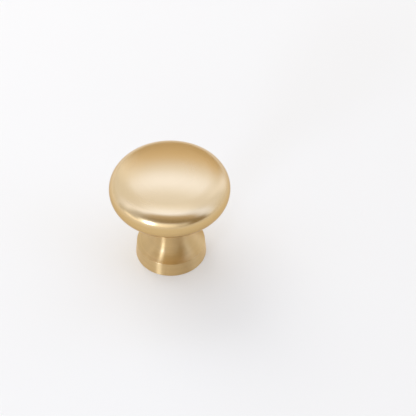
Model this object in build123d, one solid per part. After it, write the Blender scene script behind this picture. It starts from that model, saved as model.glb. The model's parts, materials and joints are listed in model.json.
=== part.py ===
"""Mushroom cabinet knob, turned from one piece of brass.

Millimetres. The origin is the centre of the seat, the flat face that meets the drawer front.
+Z runs along the knob's axis, from the seat to the crown of the head.
"""

import os
from math import atan2, cos, degrees, radians, sin, sqrt, tan

from build123d import *

# Head
head_diameter = 35.0  # widest circle of the head
knob_height = 33.6  # seat to the top of the crown
crown_radius = 50.0  # shallow dome of the crown
shoulder_radius = 7.0  # softer round between the crown and the rim
shoulder_turn = 43.0  # degrees up the rim, from the widest circle, at which the shoulder takes over
rim_radius = 4.7  # round of the rim, from the shoulder down to the underside
underside_slope = 30.0  # degrees that the underside falls from the rim to the neck
head_fillet = 4.0  # hollow between the underside and the neck

# Neck and foot
neck_diameter = 12.1
flare_slope = 24.0  # degrees that the foot's flaring top still falls where it reaches its upper edge
foot_edge_diameter = 20.2  # upper edge of the foot's band
foot_edge_height = 4.65
seat_diameter = 21.0  # lower edge of the foot's band, which widens a little downwards
foot_edge_break = 0.1  # chamfer that takes the sharpness off the upper edge
seat_edge_break = 0.2  # chamfer round the seat

# Tapped hole for an M4 screw
thread_diameter = 4.0  # major diameter
thread_pitch = 0.7
tap_drill_diameter = 3.3
thread_length = 13.0  # full thread, seat to the start of the tap's lead
tap_lead_turns = 2.0
drill_depth = 17.0  # seat to the shoulder of the drill point
drill_point_angle = 118.0
mouth_diameter = 5.0  # countersink at the mouth
mouth_angle = 90.0

head_radius = head_diameter / 2
neck_radius = neck_diameter / 2
foot_edge_radius = foot_edge_diameter / 2
seat_radius = seat_diameter / 2
thread_radius = thread_diameter / 2
tap_drill_radius = tap_drill_diameter / 2
mouth_radius = mouth_diameter / 2


def on_circle(centre, radius, turn):
    """Point of the section at an angle in degrees round a circle, counted from straight outwards."""
    return (
        centre[0] + radius * cos(radians(turn)),
        centre[1] + radius * sin(radians(turn)),
    )


def arc(centre, radius, start_turn, end_turn):
    """Arc of the section about a centre, between two angles in degrees."""
    turns = (start_turn, (start_turn + end_turn) / 2, end_turn)
    return ThreePointArc(*(on_circle(centre, radius, turn) for turn in turns))


def slope_rise(run, slope):
    """Height gained over a level run by a slope in degrees."""
    return run * tan(radians(slope))


def corner_at(face, point):
    """The corner of a section that lies at a point."""
    place = Vector(*point)
    return min(face.vertices(), key=lambda corner: (corner.center() - place).length)


def knob_section():
    """Half section of the solid knob: X is the distance from the axis, Y the height above the seat."""
    # Each arc touches the next: the crown's, the shoulder's and the rim's, which runs on into the underside.
    crown_centre = (0, knob_height - crown_radius)
    tightening = shoulder_radius - rim_radius
    shoulder_offset = head_radius - rim_radius - tightening * cos(radians(shoulder_turn))
    shoulder_rise = sqrt((crown_radius - shoulder_radius) ** 2 - shoulder_offset**2)
    shoulder_centre = (shoulder_offset, crown_centre[1] + shoulder_rise)
    rim_centre = on_circle(shoulder_centre, tightening, shoulder_turn)
    crown_turn = degrees(atan2(shoulder_rise, shoulder_offset))
    underside_turn = underside_slope - 90
    underside_edge = on_circle(rim_centre, rim_radius, underside_turn)

    # Corners of the section, before they are rounded or broken.
    underside_run = underside_edge[0] - neck_radius
    head_corner = (neck_radius, underside_edge[1] - slope_rise(underside_run, underside_slope))
    foot_edge = (foot_edge_radius, foot_edge_height)
    seat_edge = (seat_radius, 0)

    # The foot's flaring top is one arc, which leaves the neck upright.
    flare_radius = (foot_edge_radius - neck_radius) / (1 - sin(radians(flare_slope)))
    flare_rise = flare_radius * cos(radians(flare_slope))
    flare_centre = (neck_radius + flare_radius, foot_edge_height + flare_rise)
    neck_start = (neck_radius, flare_centre[1])

    with BuildSketch() as section:
        with BuildLine():
            Polyline((0, knob_height), (0, 0), seat_edge, foot_edge)
            arc(flare_centre, flare_radius, 270 - flare_slope, 180)
            Polyline(neck_start, head_corner, underside_edge)
            arc(rim_centre, rim_radius, underside_turn, shoulder_turn)
            arc(shoulder_centre, shoulder_radius, shoulder_turn, crown_turn)
            arc(crown_centre, crown_radius, crown_turn, 90)
        make_face()
    face = section.face()
    face = face.fillet_2d(head_fillet, [corner_at(face, head_corner)])
    for corner, width in ((foot_edge, foot_edge_break), (seat_edge, seat_edge_break)):
        face = face.chamfer_2d(width, width, [corner_at(face, corner)])
    return face


def hole_section():
    """Half section of the tapped hole: countersink, thread at its major size, tap's lead, drill point."""
    mouth_depth = (mouth_radius - thread_radius) / tan(radians(mouth_angle / 2))
    lead_end = thread_length + tap_lead_turns * thread_pitch
    point_end = drill_depth + tap_drill_radius / tan(radians(drill_point_angle / 2))
    with BuildSketch() as section:
        with BuildLine():
            Polyline(
                (0, 0),
                (mouth_radius, 0),
                (thread_radius, mouth_depth),
                (thread_radius, thread_length),
                (tap_drill_radius, lead_end),
                (tap_drill_radius, drill_depth),
                (0, point_end),
                close=True,
            )
        make_face()
    return section.face()


def turned(section):
    """Solid of revolution of a half section about the knob's axis."""
    return revolve(Plane.XZ * section, Axis.Z, 360)


knob = turned(knob_section()) - turned(hole_section())

os.makedirs("parts", exist_ok=True)
export_step(knob, "parts/knob.step")
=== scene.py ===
"""Looks of a satin-brass cabinet knob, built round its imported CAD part.

The knob is turned from one bar, so it is one piece here too: its half section is drawn in edit mode and spun
round the axis, more finely than the CAD mesh, because satin metal shows every facet. The M4 thread, which
the CAD part leaves as a plain wall, is wound inside the screw hole. Sizes are in millimetres and degrees
until they reach Blender, which works in metres.
"""

import json
import logging
import math
from dataclasses import dataclass
from enum import Enum

import bpy
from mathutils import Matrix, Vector


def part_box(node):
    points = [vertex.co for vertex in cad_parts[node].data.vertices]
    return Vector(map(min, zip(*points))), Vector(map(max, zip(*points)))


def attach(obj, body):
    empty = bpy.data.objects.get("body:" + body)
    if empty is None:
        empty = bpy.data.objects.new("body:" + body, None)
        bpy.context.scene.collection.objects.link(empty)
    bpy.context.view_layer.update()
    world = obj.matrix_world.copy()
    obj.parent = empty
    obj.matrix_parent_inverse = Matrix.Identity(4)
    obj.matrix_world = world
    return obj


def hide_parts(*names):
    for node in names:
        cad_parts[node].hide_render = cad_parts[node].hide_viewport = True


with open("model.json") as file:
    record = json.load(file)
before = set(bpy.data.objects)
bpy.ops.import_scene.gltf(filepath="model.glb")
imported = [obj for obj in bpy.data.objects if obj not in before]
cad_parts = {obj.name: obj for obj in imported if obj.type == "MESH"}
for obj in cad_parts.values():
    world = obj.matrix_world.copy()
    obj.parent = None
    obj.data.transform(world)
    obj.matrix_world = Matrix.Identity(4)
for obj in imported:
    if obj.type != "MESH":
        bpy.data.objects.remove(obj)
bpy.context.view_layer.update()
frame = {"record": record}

MM = 0.001
BODY = "root"
NODE = "knob"

Point = tuple[float, float]
Colour = tuple[float, float, float]

log = logging.getLogger("knob")


class Zone(Enum):
    """Parts of the turned surface that were finished in different ways."""

    HEAD = "head"
    STEM = "stem"
    HOLE = "hole"


def at_turn(centre: Point, radius: float, turn: float) -> Point:
    """Finds a point of the section on a circle.

    Args:
        centre: Middle of the circle, as distance from the axis and height.
        radius: Radius of the circle.
        turn: Degrees round it, counted from straight outwards towards the crown.

    Returns:
        The point, as distance from the axis and height.
    """
    angle = math.radians(turn)
    return centre[0] + radius * math.cos(angle), centre[1] + radius * math.sin(angle)


def along(start: Point, end: Point, step: float) -> Point:
    """Finds the point a given step from the start, on the line to the end.

    Args:
        start: First point of the line.
        end: Point that gives the line's direction.
        step: Distance from the start.

    Returns:
        The point on the line.
    """
    share = step / math.dist(start, end)
    return start[0] + (end[0] - start[0]) * share, start[1] + (end[1] - start[1]) * share


def turn_between(start: Point, end: Point) -> float:
    """Finds the direction from one point of the section to another.

    Args:
        start: Point that the direction is seen from.
        end: Point that it leads to.

    Returns:
        Degrees, counted from straight outwards towards the crown.
    """
    return math.degrees(math.atan2(end[1] - start[1], end[0] - start[0]))


def touching(inner: Point, inner_reach: float, outer: Point, outer_reach: float) -> Point:
    """Finds the middle of an arc that touches two others, on the axis side of them.

    Args:
        inner: Middle of the arc before it.
        inner_reach: Distance to keep from that.
        outer: Middle of the arc after it.
        outer_reach: Distance to keep from that.

    Returns:
        The middle of the arc, as distance from the axis and height.
    """
    apart = math.dist(inner, outer)
    step = (inner_reach**2 - outer_reach**2 + apart**2) / (2 * apart)
    aside = math.sqrt(inner_reach**2 - step**2)
    out, up = (outer[0] - inner[0]) / apart, (outer[1] - inner[1]) / apart
    return inner[0] + step * out - aside * up, inner[1] + step * up + aside * out


class LatheLine:
    """A half section drawn from point to point in edit mode, then spun round the knob's axis."""

    def __init__(self, name: str, start: Point) -> None:
        """Starts the line as one vertex.

        Args:
            name: Name of the piece.
            start: First point, as distance from the axis and height.
        """
        bpy.ops.object.select_all(action="DESELECT")
        bpy.ops.mesh.primitive_plane_add(size=MM, location=(start[0] * MM, 0, start[1] * MM))
        self.piece = bpy.context.object
        self.piece.name = name
        self.piece.data.name = name
        self.end = start
        bpy.ops.object.transform_apply(location=True, rotation=True, scale=True)
        bpy.ops.object.mode_set(mode="EDIT")
        bpy.ops.mesh.select_mode(type="VERT")
        bpy.ops.mesh.select_all(action="SELECT")
        bpy.ops.mesh.merge(type="CENTER")

    def run_to(self, point: Point) -> None:
        """Extrudes the line's end straight to a point."""
        step = ((point[0] - self.end[0]) * MM, 0, (point[1] - self.end[1]) * MM)
        bpy.ops.mesh.extrude_region_move(TRANSFORM_OT_translate={"value": step})
        self.end = point

    def turn_about(self, centre: Point, turn: float, steps: int) -> None:
        """Spins the line's end about a point of the section, to draw an arc.

        Args:
            centre: Middle of the arc.
            turn: Degrees, positive from outwards towards the crown.
            steps: Straight steps that the arc is made of.
        """
        bpy.ops.mesh.spin(
            steps=steps,
            angle=math.radians(turn),
            center=(centre[0] * MM, 0, centre[1] * MM),
            axis=(0, 1, 0),
        )
        radius = math.dist(centre, self.end)
        self.end = at_turn(centre, radius, turn_between(centre, self.end) + turn)

    def spin_round(self, steps: int, merge: float) -> bpy.types.Object:
        """Spins the whole line once round the axis and closes its seam and poles.

        Args:
            steps: Faces round the axis.
            merge: Distance within which doubled vertices become one.

        Returns:
            The finished piece, in object mode.
        """
        bpy.ops.mesh.select_all(action="SELECT")
        bpy.ops.mesh.spin(steps=steps, angle=math.tau, center=(0, 0, 0), axis=(0, 0, 1))
        bpy.ops.mesh.select_all(action="SELECT")
        bpy.ops.mesh.remove_doubles(threshold=merge * MM)
        bpy.ops.mesh.normals_make_consistent(inside=False)
        bpy.ops.object.mode_set(mode="OBJECT")
        return self.piece


class NodeBench:
    """Adds and links the nodes of one material or world."""

    def __init__(self, owner: bpy.types.Material | bpy.types.World, output: str) -> None:
        """Clears the owner's nodes and adds its output.

        Args:
            owner: Material or world that the nodes belong to.
            output: Blender's name of the output node, without ShaderNode.
        """
        owner.use_nodes = True
        self.tree = owner.node_tree
        self.tree.nodes.clear()
        self.output = self.add(output)

    def add(self, kind: str, **settings: object) -> bpy.types.Node:
        """Adds a node.

        Args:
            kind: Blender's name of the node, without ShaderNode.
            settings: Properties of the node, by name.

        Returns:
            The new node.
        """
        node = self.tree.nodes.new("ShaderNode" + kind)
        for name, value in settings.items():
            setattr(node, name, value)
        return node

    def join(self, source: bpy.types.NodeSocket, target: bpy.types.NodeSocket) -> None:
        """Links an output to an input."""
        self.tree.links.new(source, target)

    def sum_of(self, kind: str, *terms: object) -> bpy.types.NodeSocket:
        """Works out a number.

        Args:
            kind: Operation of the Math node.
            terms: Sockets or plain numbers, in order.

        Returns:
            The socket with the result.
        """
        node = self.add("Math", operation=kind)
        for socket, term in zip(node.inputs, terms):
            if isinstance(term, bpy.types.NodeSocket):
                self.join(term, socket)
            else:
                socket.default_value = term
        return node.outputs[0]

    def ranged(self, value: bpy.types.NodeSocket, span: Point, to: Point) -> bpy.types.NodeSocket:
        """Maps a number from one span to another and holds it there.

        Args:
            value: Socket with the number.
            span: Lowest and highest value read.
            to: Values given for those.

        Returns:
            The socket with the mapped number.
        """
        node = self.add("MapRange", clamp=True)
        self.join(value, node.inputs["Value"])
        for name, number in zip(("From Min", "From Max", "To Min", "To Max"), (*span, *to)):
            node.inputs[name].default_value = number
        return node.outputs["Result"]


# Marks and handling of the brass
MARK_LENGTH = 300  # length of a mark round the axis, in widths
MARK_SPREAD = (0.3, 0.7)  # span of the noise that the marks use
MARK_WEIGHT = 0.6  # share of the marks in the swing of the roughness
HANDLING_WEIGHT = 0.4  # share of the handling in it
HANDLING_SCALE = 140  # patches of handling to the metre
HANDLING_SPREAD = (0.35, 0.65)  # span of the noise that the patches use


@dataclass(frozen=True)
class BrassFinish:
    """Lacquered brass with fine marks that run round the axis; its colour changes with height, which paints
    light and shade onto the metal.

    Attributes:
        name: Name of the material.
        colour: Linear colour of the metal above the fade, partly painted light: paled on the head's crown as
            a painted highlight, deepened under the head as painted shade.
        low_colour: Linear colour below the fade; on the head and stem it is deepened as painted shade on the
            lower rim, the underside and the stem.
        edge_tint: Share of the reflection that is left where the surface turns away.
        fade: Heights between which the low colour, with its painted shade, and the roughness pass into the
            others.
        mark_shade: Share of its colour that the metal keeps in the marks.
        roughness: Mean roughness.
        low_roughness: Mean roughness below the fade.
        roughness_swing: How far the marks and the handling move the roughness.
        stretch: Anisotropy below the fade, over which it dies away; 0 for an even satin.
        stretch_turn: Share of a full turn by which highlights are turned from the circumference.
        mark_width: Mean width of the marks.
        mark_depth: Height of the marks in the bump.
        lacquer: Weight of the clear coat.
        lacquer_roughness: Roughness of the clear coat.
        lacquer_index: Refractive index of the clear coat.
    """

    name: str
    colour: Colour
    low_colour: Colour
    edge_tint: Colour
    fade: Point
    mark_shade: float
    roughness: float
    low_roughness: float
    roughness_swing: float
    stretch: float
    stretch_turn: float
    mark_width: float
    mark_depth: float
    lacquer: float
    lacquer_roughness: float
    lacquer_index: float = 1.5

    def material(self) -> bpy.types.Material:
        """Makes the finish as a node material on Object coordinates."""
        material = bpy.data.materials.new(self.name)
        bench = NodeBench(material, "OutputMaterial")
        place = bench.add("TexCoord").outputs["Object"]
        apart = bench.add("SeparateXYZ")
        bench.join(place, apart.inputs[0])
        marks = self.marks(bench, apart)
        handled = self.handling(bench, place)

        metal = bench.add("BsdfPrincipled")
        bench.join(metal.outputs[0], bench.output.inputs["Surface"])
        metal.inputs["Metallic"].default_value = 1
        metal.inputs["Specular Tint"].default_value = (*self.edge_tint, 1)
        metal.inputs["Anisotropic Rotation"].default_value = self.stretch_turn
        metal.inputs["Coat Weight"].default_value = self.lacquer
        metal.inputs["Coat Roughness"].default_value = self.lacquer_roughness
        metal.inputs["Coat IOR"].default_value = self.lacquer_index

        heights = tuple(height * MM for height in self.fade)
        # Painted light: the base colour passes by height from the low colour to the other, painting shade
        # low on the piece and a paler highlight above.
        painted_height_shading = bench.add("Mix", data_type="RGBA")
        painted_height_shading.inputs["A"].default_value = (*self.low_colour, 1)
        painted_height_shading.inputs["B"].default_value = (*self.colour, 1)
        bench.join(bench.ranged(apart.outputs["Z"], heights, (0, 1)), painted_height_shading.inputs["Factor"])
        shade = bench.add("Mix", data_type="RGBA", blend_type="MULTIPLY")
        shade.inputs["Factor"].default_value = 1
        bench.join(painted_height_shading.outputs["Result"], shade.inputs["A"])
        bench.join(bench.ranged(marks, (0, 1), (self.mark_shade, 1)), shade.inputs["B"])
        bench.join(shade.outputs["Result"], metal.inputs["Base Color"])

        worn = bench.sum_of("MULTIPLY", handled, HANDLING_WEIGHT)
        mixed = bench.sum_of("ADD", bench.sum_of("MULTIPLY", marks, MARK_WEIGHT), worn)
        mean = bench.ranged(apart.outputs["Z"], heights, (self.low_roughness, self.roughness))
        swing = bench.ranged(mixed, (0, 1), (self.roughness_swing, -self.roughness_swing))
        bench.join(bench.sum_of("ADD", mean, swing), metal.inputs["Roughness"])

        bump = bench.add("Bump")
        bump.inputs["Strength"].default_value = 1
        bump.inputs["Distance"].default_value = self.mark_depth * MM
        bench.join(marks, bump.inputs["Height"])
        bench.join(bump.outputs[0], metal.inputs["Normal"])
        if self.stretch:
            tangent = bench.add("Tangent", direction_type="RADIAL", axis="Z")
            bench.join(tangent.outputs[0], metal.inputs["Tangent"])
            fading = bench.ranged(apart.outputs["Z"], heights, (self.stretch, 0))
            bench.join(fading, metal.inputs["Anisotropic"])
        return material

    def marks(self, bench: NodeBench, apart: bpy.types.Node) -> bpy.types.NodeSocket:
        """Draws the fine marks: noise that runs fast across them and slowly round the axis, with no seam.

        Args:
            bench: Nodes of the material.
            apart: Node that gives the Object coordinates apart.

        Returns:
            The socket with the marks, 0 in their depth and 1 between them.
        """
        across = bench.sum_of("SQRT", bench.sum_of(
            "ADD",
            bench.sum_of("MULTIPLY", apart.outputs["X"], apart.outputs["X"]),
            bench.sum_of("MULTIPLY", apart.outputs["Y"], apart.outputs["Y"]),
        ))
        fine = 1 / (self.mark_width * MM)
        slow = fine / MARK_LENGTH
        grain = bench.add("TexNoise", noise_dimensions="4D")
        grain.inputs["Scale"].default_value = 1
        grain.inputs["Detail"].default_value = 3
        grain.inputs["Roughness"].default_value = 0.6
        spot = bench.add("CombineXYZ")
        bench.join(bench.sum_of("MULTIPLY", apart.outputs["X"], slow), spot.inputs["X"])
        bench.join(bench.sum_of("MULTIPLY", apart.outputs["Y"], slow), spot.inputs["Y"])
        bench.join(bench.sum_of("MULTIPLY", across, fine), spot.inputs["Z"])
        bench.join(spot.outputs[0], grain.inputs["Vector"])
        bench.join(bench.sum_of("MULTIPLY", apart.outputs["Z"], fine), grain.inputs["W"])
        return bench.ranged(grain.outputs[0], MARK_SPREAD, (0, 1))

    def handling(self, bench: NodeBench, place: bpy.types.NodeSocket) -> bpy.types.NodeSocket:
        """Draws the broad, faint patches where fingers have dulled or burnished the metal.

        Args:
            bench: Nodes of the material.
            place: Socket with the Object coordinates.

        Returns:
            The socket with the patches, from 0 to 1.
        """
        patch = bench.add("TexNoise")
        patch.inputs["Scale"].default_value = HANDLING_SCALE
        patch.inputs["Detail"].default_value = 2
        bench.join(place, patch.inputs["Vector"])
        return bench.ranged(patch.outputs[0], HANDLING_SPREAD, (0, 1))


# Painted light: the head's colour is paled on the crown as a painted highlight and deepened below the rim's
# widest part as painted shade on the lower rim and underside.
SATIN_HEAD = BrassFinish(
    name="satin_head",
    colour=(0.83, 0.655, 0.42),
    low_colour=(0.67, 0.465, 0.205),
    edge_tint=(0.78, 0.66, 0.50),
    fade=(27.6, 30.6),
    mark_shade=0.97,
    roughness=0.26,
    low_roughness=0.20,
    roughness_swing=0.02,
    stretch=0.0,
    stretch_turn=0.0,
    mark_width=0.08,
    mark_depth=0.0002,
    lacquer=0.3,
    lacquer_roughness=0.15,
)
# Painted shade: the stem's colours are deeper than the crown's, standing in for the shadowed floor that it
# reflects, and darkest at the top of the neck under the head.
TURNED_STEM = BrassFinish(
    name="turned_stem",
    colour=SATIN_HEAD.low_colour,
    low_colour=(0.77, 0.543, 0.255),
    edge_tint=(0.98, 0.93, 0.85),
    fade=(14.5, 18.5),
    mark_shade=0.88,
    roughness=SATIN_HEAD.low_roughness,
    low_roughness=0.39,
    roughness_swing=0.03,
    stretch=1.0,
    stretch_turn=0.25,
    mark_width=0.10,
    mark_depth=0.0004,
    lacquer=0.3,
    lacquer_roughness=0.25,
    lacquer_index=1.7,
)
CUT_HOLE = BrassFinish(
    name="cut_hole",
    colour=(0.78, 0.58, 0.31),
    low_colour=(0.78, 0.58, 0.31),
    edge_tint=(0.90, 0.80, 0.65),
    fade=(0, 1),
    mark_shade=0.88,
    roughness=0.34,
    low_roughness=0.34,
    roughness_swing=0.06,
    stretch=0.0,
    stretch_turn=0.0,
    mark_width=0.06,
    mark_depth=0.0015,
    lacquer=0.0,
    lacquer_roughness=0.15,
)


@dataclass
class ScrewHole:
    """Sizes of the tapped blind hole, which the knob's section and its thread share.

    Attributes:
        thread_radius: Radius at the thread's roots, where the wall is.
        pitch: Rise of the thread in one turn.
        crest_radius: Radius at the thread's crests, which is the tap drill's.
        thread_length: Seat to the start of the tap's lead.
        lead_turns: Turns over which the tap's lead runs out.
        drill_depth: Seat to the shoulder of the drill point.
        drill_point_angle: Degrees of the drill point.
        mouth_radius: Radius of the countersink at the seat.
        mouth_angle: Degrees of the countersink.
    """

    thread_radius: float
    pitch: float = 0.7
    crest_radius: float = 1.65
    thread_length: float = 13.0
    lead_turns: float = 2.0
    drill_depth: float = 17.0
    drill_point_angle: float = 118.0
    mouth_radius: float = 2.5
    mouth_angle: float = 90.0

    @property
    def mouth_depth(self) -> float:
        """Height at which the countersink meets the thread."""
        return (self.mouth_radius - self.thread_radius) / math.tan(math.radians(self.mouth_angle / 2))

    @property
    def lead_end(self) -> float:
        """Height at which the tap's lead has run out."""
        return self.thread_length + self.lead_turns * self.pitch

    @property
    def tip(self) -> float:
        """Height of the drill point's tip."""
        return self.drill_depth + self.crest_radius / math.tan(math.radians(self.drill_point_angle / 2))

    def section(self) -> list[Point]:
        """Lists the hole's corners from its mouth to the tip of the drill point."""
        return [
            (self.mouth_radius, 0),
            (self.thread_radius, self.mouth_depth),
            (self.thread_radius, self.thread_length),
            (self.crest_radius, self.lead_end),
            (self.crest_radius, self.drill_depth),
            (0, self.tip),
        ]


@dataclass
class TurnedKnob:
    """The knob's body: crowned head, plain neck, banded foot and screw hole, in one turned piece.

    Attributes:
        head_radius: Radius of the widest circle.
        height: Seat to the top of the crown.
        hole: Sizes of the screw hole.
        crown_radius: Shallow dome of the crown.
        shoulder_radius: Round that sets the rim's place below the crown, as in the CAD part.
        shoulder_turn: Degrees up the rim at which the shoulder takes over.
        eased_shoulder_radius: Round of the shoulder as drawn, a little tighter to make room for the easing.
        easing_radius: Arc that eases the crown into the shoulder, so that no ring shows between them.
        rim_radius: Round of the rim, down to the underside.
        underside_slope: Degrees that the underside falls from the rim to the neck.
        head_fillet: Hollow between the underside and the neck.
        neck_radius: Radius of the neck.
        stem_top: Height at which the stem's finish has passed into the head's.
        flare_slope: Degrees that the foot's flaring top still falls at its edge.
        foot_edge_radius: Radius of the band's upper edge.
        foot_edge_height: Height of that edge.
        seat_radius: Radius of the band's lower edge.
        foot_edge_break: Chamfer of the upper edge.
        seat_edge_break: Chamfer of the lower edge.
        crown_steps: Straight steps of the crown's arc; the other arcs have theirs below it.
        steps_round: Faces round the axis.
        edge_softness: Width of the round on crisp edges.
        edge_segments: Faces across that round.
        crisp_angle: Degrees from which an edge counts as crisp.
        merge: Distance within which doubled vertices become one.
    """

    head_radius: float
    height: float
    hole: ScrewHole
    crown_radius: float = 50.0
    shoulder_radius: float = 7.0
    shoulder_turn: float = 43.0
    eased_shoulder_radius: float = 6.2
    easing_radius: float = 18.0
    rim_radius: float = 4.7
    underside_slope: float = 30.0
    head_fillet: float = 4.0
    neck_radius: float = 6.05
    stem_top: float = 18.5
    flare_slope: float = 24.0
    foot_edge_radius: float = 10.1
    foot_edge_height: float = 4.65
    seat_radius: float = 10.5
    foot_edge_break: float = 0.1
    seat_edge_break: float = 0.2
    crown_steps: int = 20
    easing_steps: int = 14
    shoulder_steps: int = 36
    rim_steps: int = 103
    hollow_steps: int = 24
    flare_steps: int = 44
    steps_round: int = 288
    edge_softness: float = 0.03
    edge_segments: int = 2
    crisp_angle: float = 20.0
    merge: float = 0.0005

    def build(self) -> bpy.types.Object:
        """Draws the section from the crown down to the drill point and spins it.

        Returns:
            The knob's piece.
        """
        line = LatheLine("turned_knob", (0, self.height))
        self.draw_head(line)
        self.draw_stem(line)
        for corner in self.hole.section():
            line.run_to(corner)
        piece = line.spin_round(self.steps_round, self.merge)
        self.soften(piece)
        return piece

    def draw_head(self, line: LatheLine) -> None:
        """Draws the head, from the crown round the rim and along the underside to the top of the neck."""
        crown_centre = (0, self.height - self.crown_radius)
        tightening = self.shoulder_radius - self.rim_radius
        shoulder_cos = math.cos(math.radians(self.shoulder_turn))
        shoulder_offset = self.head_radius - self.rim_radius - tightening * shoulder_cos
        shoulder_rise = math.sqrt((self.crown_radius - self.shoulder_radius) ** 2 - shoulder_offset**2)
        shoulder_centre = (shoulder_offset, crown_centre[1] + shoulder_rise)
        rim_centre = at_turn(shoulder_centre, tightening, self.shoulder_turn)
        eased_tightening = self.eased_shoulder_radius - self.rim_radius
        eased_centre = at_turn(rim_centre, -eased_tightening, self.shoulder_turn)
        easing_centre = touching(
            crown_centre,
            self.crown_radius - self.easing_radius,
            eased_centre,
            self.easing_radius - self.eased_shoulder_radius,
        )
        crown_turn = turn_between(crown_centre, easing_centre)
        easing_turn = turn_between(easing_centre, eased_centre)
        underside_turn = self.underside_slope - 90
        underside_edge = at_turn(rim_centre, self.rim_radius, underside_turn)

        head_tan = math.tan(math.radians(self.underside_slope))
        head_cos = math.cos(math.radians(self.underside_slope))
        head_corner = underside_edge[1] - (underside_edge[0] - self.neck_radius) * head_tan
        head_hollow = (
            self.neck_radius + self.head_fillet,
            head_corner + self.head_fillet * (head_tan - 1 / head_cos),
        )

        line.turn_about(crown_centre, crown_turn - 90, self.crown_steps)
        line.turn_about(easing_centre, easing_turn - crown_turn, self.easing_steps)
        line.turn_about(eased_centre, self.shoulder_turn - easing_turn, self.shoulder_steps)
        line.turn_about(rim_centre, underside_turn - self.shoulder_turn, self.rim_steps)
        line.run_to(at_turn(head_hollow, self.head_fillet, 90 + self.underside_slope))
        line.turn_about(head_hollow, 90 - self.underside_slope, self.hollow_steps)

    def draw_stem(self, line: LatheLine) -> None:
        """Draws the neck, the flaring foot and its band, down to the edge of the seat."""
        flare_sin = math.sin(math.radians(self.flare_slope))
        flare_radius = (self.foot_edge_radius - self.neck_radius) / (1 - flare_sin)
        flare_rise = flare_radius * math.cos(math.radians(self.flare_slope))
        flare_centre = (self.neck_radius + flare_radius, self.foot_edge_height + flare_rise)
        flare_turn = 90 - self.flare_slope - math.degrees(self.foot_edge_break / flare_radius)
        foot_edge = (self.foot_edge_radius, self.foot_edge_height)
        seat_edge = (self.seat_radius, 0)

        line.run_to(at_turn(flare_centre, flare_radius, 180))
        line.turn_about(flare_centre, flare_turn, self.flare_steps)
        line.run_to(along(foot_edge, seat_edge, self.foot_edge_break))
        line.run_to(along(seat_edge, foot_edge, self.seat_edge_break))
        line.run_to(along(seat_edge, (0, 0), self.seat_edge_break))

    def soften(self, piece: bpy.types.Object) -> None:
        """Rounds the crisp edges by a hair and shades the rest smooth."""
        crisp = math.radians(self.crisp_angle)
        bpy.ops.object.shade_smooth_by_angle(angle=crisp)
        bevel = piece.modifiers.new("edges", "BEVEL")
        bevel.width = self.edge_softness * MM
        bevel.segments = self.edge_segments
        bevel.limit_method = "ANGLE"
        bevel.angle_limit = crisp
        bevel.harden_normals = True
        bpy.ops.object.modifier_apply(modifier=bevel.name)

    def zone_of(self, centre: Vector) -> Zone:
        """Says which part of the surface a face belongs to, by its centre."""
        across, height = math.hypot(centre.x, centre.y) / MM, centre.z / MM
        if across < self.hole.mouth_radius and height < self.hole.tip:
            return Zone.HOLE
        return Zone.HEAD if height > self.stem_top else Zone.STEM

    def dress(self, piece: bpy.types.Object) -> None:
        """Gives each zone of the surface its finish and ties the piece to the frame."""
        finishes = {Zone.HEAD: SATIN_HEAD, Zone.STEM: TURNED_STEM, Zone.HOLE: CUT_HOLE}
        zones = list(finishes)
        for zone in zones:
            piece.data.materials.append(finishes[zone].material())
        for face in piece.data.polygons:
            face.material_index = zones.index(self.zone_of(face.center))
        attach(piece, BODY)
        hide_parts(NODE)


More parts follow.
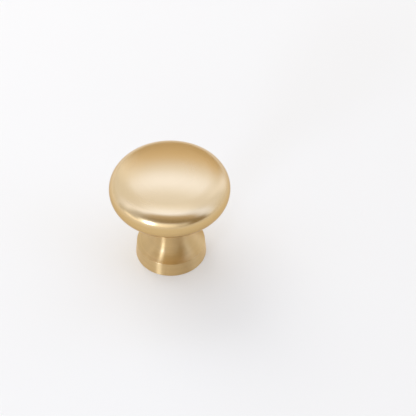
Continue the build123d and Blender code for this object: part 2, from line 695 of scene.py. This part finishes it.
@dataclass
class ScrewThread:
    """The M4 thread's ridge, wound up the wall of the screw hole and trimmed by its countersink.

    Attributes:
        hole: Sizes of the hole.
        flank: Degrees between a flank and the thread's own plane.
        root_share: Share of the pitch that the ridge is wide at the wall.
        sink: How far its foot is let into the wall.
        run_in: How far below the seat the winding starts, all of which the countersink takes away.
        steps_round: Straight steps of each turn.
        cutter_sides: Sides of the cone that cuts the countersink.
        crisp_angle: Degrees from which an edge counts as crisp.
        merge: Distance within which doubled vertices become one.
    """

    hole: ScrewHole
    flank: float = 30.0
    root_share: float = 7 / 8
    sink: float = 0.02
    run_in: float = 0.35
    steps_round: int = 48
    cutter_sides: int = 96
    crisp_angle: float = 25.0
    merge: float = 0.002

    def build(self) -> bpy.types.Object:
        """Draws the ridge's section, winds it up the hole and trims it.

        Returns:
            The thread's piece.
        """
        slope = math.tan(math.radians(self.flank))
        foot_radius = self.hole.thread_radius + self.sink
        half_foot = self.hole.pitch * self.root_share / 2 + self.sink * slope
        half_crest = half_foot - (foot_radius - self.hole.crest_radius) * slope
        start = -self.run_in
        line = LatheLine("screw_thread", (foot_radius, start - half_foot))
        line.run_to((self.hole.crest_radius, start - half_crest))
        line.run_to((self.hole.crest_radius, start + half_crest))
        line.run_to((foot_radius, start + half_foot))
        line.run_to((foot_radius, start - half_foot))
        bpy.ops.mesh.select_all(action="SELECT")
        bpy.ops.mesh.remove_doubles(threshold=self.merge * MM)
        bpy.ops.object.mode_set(mode="OBJECT")
        piece = line.piece

        winding = piece.modifiers.new("winding", "SCREW")
        winding.axis = "Z"
        winding.screw_offset = self.hole.pitch * MM
        winding.iterations = round((self.hole.lead_end - start) / self.hole.pitch)
        winding.steps = winding.render_steps = self.steps_round
        bpy.ops.object.modifier_apply(modifier=winding.name)
        bpy.ops.object.mode_set(mode="EDIT")
        bpy.ops.mesh.select_all(action="SELECT")
        bpy.ops.mesh.fill_holes(sides=4)
        bpy.ops.mesh.normals_make_consistent(inside=False)
        bpy.ops.object.mode_set(mode="OBJECT")
        self.trim(piece)
        return piece

    def trim(self, piece: bpy.types.Object) -> None:
        """Cuts the thread's first turn back to the countersink."""
        slope = math.tan(math.radians(self.hole.mouth_angle / 2))
        tip = self.hole.mouth_radius / slope
        bottom = -self.hole.mouth_radius
        bpy.ops.object.select_all(action="DESELECT")
        bpy.ops.mesh.primitive_cone_add(
            vertices=self.cutter_sides,
            radius1=(tip - bottom) * slope * MM,
            depth=(tip - bottom) * MM,
            location=(0, 0, (tip + bottom) / 2 * MM),
        )
        cutter = bpy.context.object
        cut = piece.modifiers.new("countersink", "BOOLEAN")
        cut.operation = "DIFFERENCE"
        cut.solver = "EXACT"
        cut.object = cutter
        bpy.ops.object.select_all(action="DESELECT")
        piece.select_set(True)
        bpy.context.view_layer.objects.active = piece
        bpy.ops.object.modifier_apply(modifier=cut.name)
        bpy.data.objects.remove(cutter)
        bpy.ops.object.shade_smooth_by_angle(angle=math.radians(self.crisp_angle))

    def dress(self, piece: bpy.types.Object) -> None:
        """Gives the thread its cut finish and ties it to the frame."""
        piece.data.materials.append(CUT_HOLE.material())
        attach(piece, BODY)


@dataclass
class SoftBox:
    """One studio lamp with a soft rectangular front.

    Attributes:
        name: Name of the lamp.
        bearing: Degrees round the knob, from straight behind it towards the right.
        elevation: Degrees above the floor.
        size: Width and height of the front, in metres.
        level: Brightness of the front, where 1 is white.
        colour: Linear colour of the light.
        distance: Metres from the knob.
        mirrored: Whether its front shows in shiny metal.
    """

    name: str
    bearing: float
    elevation: float
    size: tuple[float, float]
    level: float
    colour: Colour = (1, 1, 1)
    distance: float = 0.8
    mirrored: bool = True

    def place(self, aim: Vector) -> None:
        """Puts up the lamp, facing a point."""
        bearing, elevation = math.radians(self.bearing), math.radians(self.elevation)
        way = Vector((
            math.sin(bearing) * math.cos(elevation),
            math.cos(bearing) * math.cos(elevation),
            math.sin(elevation),
        ))
        lamp = bpy.data.lights.new(self.name, "AREA")
        lamp.shape = "RECTANGLE"
        lamp.size, lamp.size_y = self.size
        lamp.energy = self.level * math.pi * self.size[0] * self.size[1]
        lamp.color = self.colour
        holder = bpy.data.objects.new(self.name, lamp)
        holder.location = aim + way * self.distance
        holder.rotation_euler = (-way).to_track_quat("-Z", "Y").to_euler()
        holder.visible_camera = False
        holder.visible_glossy = self.mirrored
        bpy.context.scene.collection.objects.link(holder)


@dataclass(frozen=True)
class TentStop:
    """One stop of the light tent, counted over the knob from front to back.

    Attributes:
        turn: Degrees from the horizon on the camera's side, 90 straight above.
        level: Brightness of the tent there, where 1 is white.
        tint: Linear colour of its light.
    """

    turn: float
    level: float
    tint: Colour = (1, 1, 1)


@dataclass(frozen=True)
class TentPanel:
    """One panel or gap of the light tent, laid over its stripes.

    Attributes:
        bearing: Degrees round the knob of its middle, from straight behind it towards the right.
        half_width: Degrees from its middle to either side.
        reach: Elevations of its lower and upper edge.
        level: Brightness of the panel, where 1 is white.
        tint: Linear colour of its light.
        softness: Degrees over which its edges fade.
    """

    bearing: float
    half_width: float
    reach: Point
    level: float
    tint: Colour = (1, 1, 1)
    softness: float = 8


# Tints of the tent's light, as linear colours
WARM = (1.28, 1.0, 0.58)
CREAM = (1.02, 1.0, 0.95)
PALE = (0.97, 1.0, 1.10)
COOL = (0.90, 1.0, 1.26)


@dataclass
class Studio:
    """Floor, light tent, lamps and camera round the knob.

    Attributes:
        picture_side: Pixels along a side of the picture.
        focal_pixels: Focal length, in pixels of the picture.
        camera_elevation: Degrees that the camera looks down.
        camera_distance: Metres from the camera to its aim.
        camera_aim: Point of the floor in the middle of the picture, in metres.
        sensor: Width of the camera's sensor, in its own millimetres.
        floor_side: Length of the floor's sides, in metres.
        floor_colour: Linear colour of the floor.
        floor_glow: Share of plain white that the camera and the metal see in the floor.
        tent_bearing: Degrees that the tent's stripes are swung round.
        tent_tilt: Degrees that they are tilted sideways.
    """

    picture_side: int = 416
    focal_pixels: float = 1608
    camera_elevation: float = 47.14
    camera_distance: float = 0.4935
    camera_aim: tuple[float, float, float] = (0.01103, 0.0170, 0.0)
    sensor: float = 36.0
    floor_side: float = 6.0
    floor_colour: Colour = (0.86, 0.85, 0.83)
    floor_glow: float = 0.25
    tent_bearing: float = 9.0
    tent_tilt: float = 6.0

    def tent(self) -> list[TentStop]:
        """Lists the tent's stops: a dark opening towards the camera, and two bright strips above."""
        return [
            TentStop(0, 0.45),
            TentStop(23, 0.45),
            TentStop(35, 0.24, WARM),
            TentStop(45, 0.24, WARM),
            TentStop(55, 0.36, WARM),
            TentStop(69, 0.42, WARM),
            TentStop(78, 1.38, COOL),
            TentStop(88, 1.41, COOL),
            TentStop(98, 1.00),
            TentStop(108, 0.82),
            TentStop(114, 0.95),
            TentStop(121, 1.40, COOL),
            TentStop(128, 1.40, COOL),
            TentStop(137, 0.90),
            TentStop(148, 0.60, WARM),
            TentStop(162, 0.48, WARM),
            TentStop(180, 0.46, WARM),
        ]

    def panels(self) -> list[TentPanel]:
        """Lists the tent's side walls, its dark gaps and the pale panels low in front."""
        return [
            TentPanel(-36, 13, (0, 44), 1.02, CREAM, softness=14),
            TentPanel(75, 38, (-90, 67), 0.85, softness=14),
            TentPanel(52, 9, (-10, 54), 1.10, PALE, softness=12),
            TentPanel(-78, 41, (-90, 67), 0.83, CREAM, softness=12),
            TentPanel(-93, 17, (-90, 64), 0.97, PALE, softness=12),
            TentPanel(110, 13, (6, 74), 1.16, COOL),
            TentPanel(-99, 10, (28, 74), 1.30, PALE),
            TentPanel(-112, 10, (54, 78), 1.42, COOL),
            TentPanel(-113, 12, (12, 50), 0.62),
            TentPanel(-97, 12, (-8, 17), 0.66),
            TentPanel(132, 17, (-90, 28), 0.24, WARM),
            TentPanel(160, 12, (1, 22), 0.82),
            TentPanel(201, 33, (1, 26), 1.18),
            TentPanel(207, 25, (1, 26), 1.32),
            TentPanel(-114, 14, (-20, 9), 1.60),
        ]

    def lamps(self) -> list[SoftBox]:
        """Lists the studio's lamps."""
        return [
            SoftBox("front_strip", -146, 15, (0.15, 0.08), 29, (0.82, 1.0, 1.38)),
            SoftBox("floor_key", -36, 42, (0.5, 0.5), 2.0, distance=0.7, mirrored=False),
        ]

    def floor(self) -> None:
        """Lays the pale floor, which is clear from below."""
        bpy.ops.object.select_all(action="DESELECT")
        bpy.ops.mesh.primitive_plane_add(size=self.floor_side)
        piece = bpy.context.object
        piece.name = "floor"
        material = bpy.data.materials.new("pale_floor")
        bench = NodeBench(material, "OutputMaterial")
        paint = bench.add("BsdfDiffuse")
        paint.inputs["Color"].default_value = (*self.floor_colour, 1)
        glow = bench.add("Emission")
        ray = bench.add("LightPath").outputs
        seen = bench.sum_of("MAXIMUM", ray["Is Camera Ray"], ray["Is Glossy Ray"])
        seen = bench.sum_of("MAXIMUM", seen, ray["Is Transmission Ray"])
        blend = bench.add("MixShader")
        bench.join(bench.sum_of("MULTIPLY", seen, self.floor_glow), blend.inputs["Fac"])
        bench.join(paint.outputs[0], blend.inputs[1])
        bench.join(glow.outputs[0], blend.inputs[2])
        cut = bench.add("MixShader")
        bench.join(bench.add("NewGeometry").outputs["Backfacing"], cut.inputs["Fac"])
        bench.join(blend.outputs[0], cut.inputs[1])
        bench.join(bench.add("BsdfTransparent").outputs[0], cut.inputs[2])
        bench.join(cut.outputs[0], bench.output.inputs["Surface"])
        piece.data.materials.append(material)

    def world(self) -> None:
        """Hangs the light tent round the knob."""
        room = bpy.data.worlds.new("tent")
        bpy.context.scene.world = room
        bench = NodeBench(room, "OutputWorld")
        way = bench.add("TexCoord").outputs["Generated"]
        colour = self.hung(bench, way, self.striped(bench, way))
        glow = bench.add("Background")
        bench.join(colour, glow.inputs["Color"])
        bench.join(glow.outputs[0], bench.output.inputs["Surface"])

    def striped(self, bench: NodeBench, way: bpy.types.NodeSocket) -> bpy.types.NodeSocket:
        """Draws the tent's stripes, which run from left to right.

        Args:
            bench: Nodes of the tent.
            way: Socket with the direction of view.

        Returns:
            The socket with the stripes' colour.
        """
        swing = bench.add("Mapping")
        tilt, swivel = math.radians(self.tent_tilt), math.radians(self.tent_bearing)
        swing.inputs["Rotation"].default_value = (0, -tilt, swivel)
        bench.join(way, swing.inputs["Vector"])
        apart = bench.add("SeparateXYZ")
        bench.join(swing.outputs[0], apart.inputs[0])
        front = bench.sum_of("MULTIPLY", apart.outputs["Y"], -1)
        turn = bench.sum_of("ARCTAN2", apart.outputs["Z"], front)
        stripes = bench.add("ValToRGB")
        bench.join(bench.sum_of("DIVIDE", turn, math.pi), stripes.inputs[0])
        stripes.color_ramp.interpolation = "EASE"
        stops = stripes.color_ramp.elements
        for index, stop in enumerate(self.tent()):
            mark = stops[index] if index < len(stops) else stops.new(1)
            mark.position = stop.turn / 180
            mark.color = (*(stop.level * share for share in stop.tint), 1)
        return stripes.outputs[0]

    def hung(
        self, bench: NodeBench, way: bpy.types.NodeSocket, colour: bpy.types.NodeSocket
    ) -> bpy.types.NodeSocket:
        """Hangs the panels over the stripes, each over those before it.

        Args:
            bench: Nodes of the tent.
            way: Socket with the direction of view.
            colour: Socket with the stripes' colour.

        Returns:
            The socket with the tent's colour.
        """
        apart = bench.add("SeparateXYZ")
        bench.join(way, apart.inputs[0])
        across = bench.sum_of("ARCTAN2", apart.outputs["X"], apart.outputs["Y"])
        bearing = bench.sum_of("MULTIPLY", across, math.degrees(1))
        elevation = bench.sum_of("MULTIPLY", bench.sum_of("ARCSINE", apart.outputs["Z"]), math.degrees(1))
        for panel in self.panels():
            turned = bench.sum_of("WRAP", bench.sum_of("SUBTRACT", bearing, panel.bearing), 180, -180)
            sides = self.edge(bench, bench.sum_of("ABSOLUTE", turned), panel.half_width, panel.softness)
            above = self.edge(bench, elevation, panel.reach[1], panel.softness)
            below = bench.sum_of("SUBTRACT", 1, self.edge(bench, elevation, panel.reach[0], panel.softness))
            laid = bench.add("Mix", data_type="RGBA")
            share = bench.sum_of("MULTIPLY", sides, bench.sum_of("MULTIPLY", above, below))
            bench.join(share, laid.inputs["Factor"])
            bench.join(colour, laid.inputs["A"])
            laid.inputs["B"].default_value = (*(panel.level * part for part in panel.tint), 1)
            colour = laid.outputs["Result"]
        return colour

    def edge(
        self, bench: NodeBench, value: bpy.types.NodeSocket, limit: float, softness: float
    ) -> bpy.types.NodeSocket:
        """Fades from 1 below a limit to 0 above it.

        Args:
            bench: Nodes of the tent.
            value: Socket with the number.
            limit: Where the fade is half done.
            softness: Width of the fade.

        Returns:
            The socket with the share.
        """
        return bench.ranged(value, (limit - softness / 2, limit + softness / 2), (1, 0))

    def camera(self) -> None:
        """Places the camera at the photograph's viewing angle."""
        view = bpy.data.cameras.new("camera")
        view.sensor_width = self.sensor
        view.lens = self.focal_pixels / self.picture_side * self.sensor
        holder = bpy.data.objects.new("camera", view)
        elevation = math.radians(self.camera_elevation)
        back = Vector((0, -math.cos(elevation), math.sin(elevation)))
        holder.location = Vector(self.camera_aim) + back * self.camera_distance
        holder.rotation_euler = (math.pi / 2 - elevation, 0, 0)
        bpy.context.scene.collection.objects.link(holder)
        bpy.context.scene.camera = holder

    def light(self, aim: Vector) -> None:
        """Puts up every lamp."""
        for lamp in self.lamps():
            lamp.place(aim)

    def build(self, aim: Vector) -> None:
        """Sets up the whole studio, with the lamps facing a point."""
        self.floor()
        self.world()
        self.light(aim)
        self.camera()
        bpy.context.scene.view_settings.view_transform = "Standard"


def make_knob() -> tuple[TurnedKnob, bpy.types.Object, bpy.types.Object]:
    """Builds and dresses the knob and its thread at the frame's own size.

    Returns:
        The knob's sizes, its piece and the thread's piece.
    """
    low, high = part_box(NODE)
    mount = next(m for m in frame["record"]["mounts"] if m["name"] == "screw_hole")
    hole = ScrewHole(thread_radius=mount["dims"]["r_mm"])
    knob = TurnedKnob(head_radius=(high.x - low.x) / 2 / MM, height=high.z / MM, hole=hole)
    body = knob.build()
    knob.dress(body)
    thread = ScrewThread(hole)
    ridge = thread.build()
    thread.dress(ridge)
    return knob, body, ridge


def main() -> None:
    """Builds the knob and the studio round it."""
    logging.basicConfig(level=logging.INFO, format="%(message)s")
    knob, *pieces = make_knob()
    for piece in pieces:
        log.info("%s: %d faces", piece.name, len(piece.data.polygons))
    Studio().build(Vector((0, 0, knob.height / 2 * MM)))


if __name__ == "__main__":
    main()
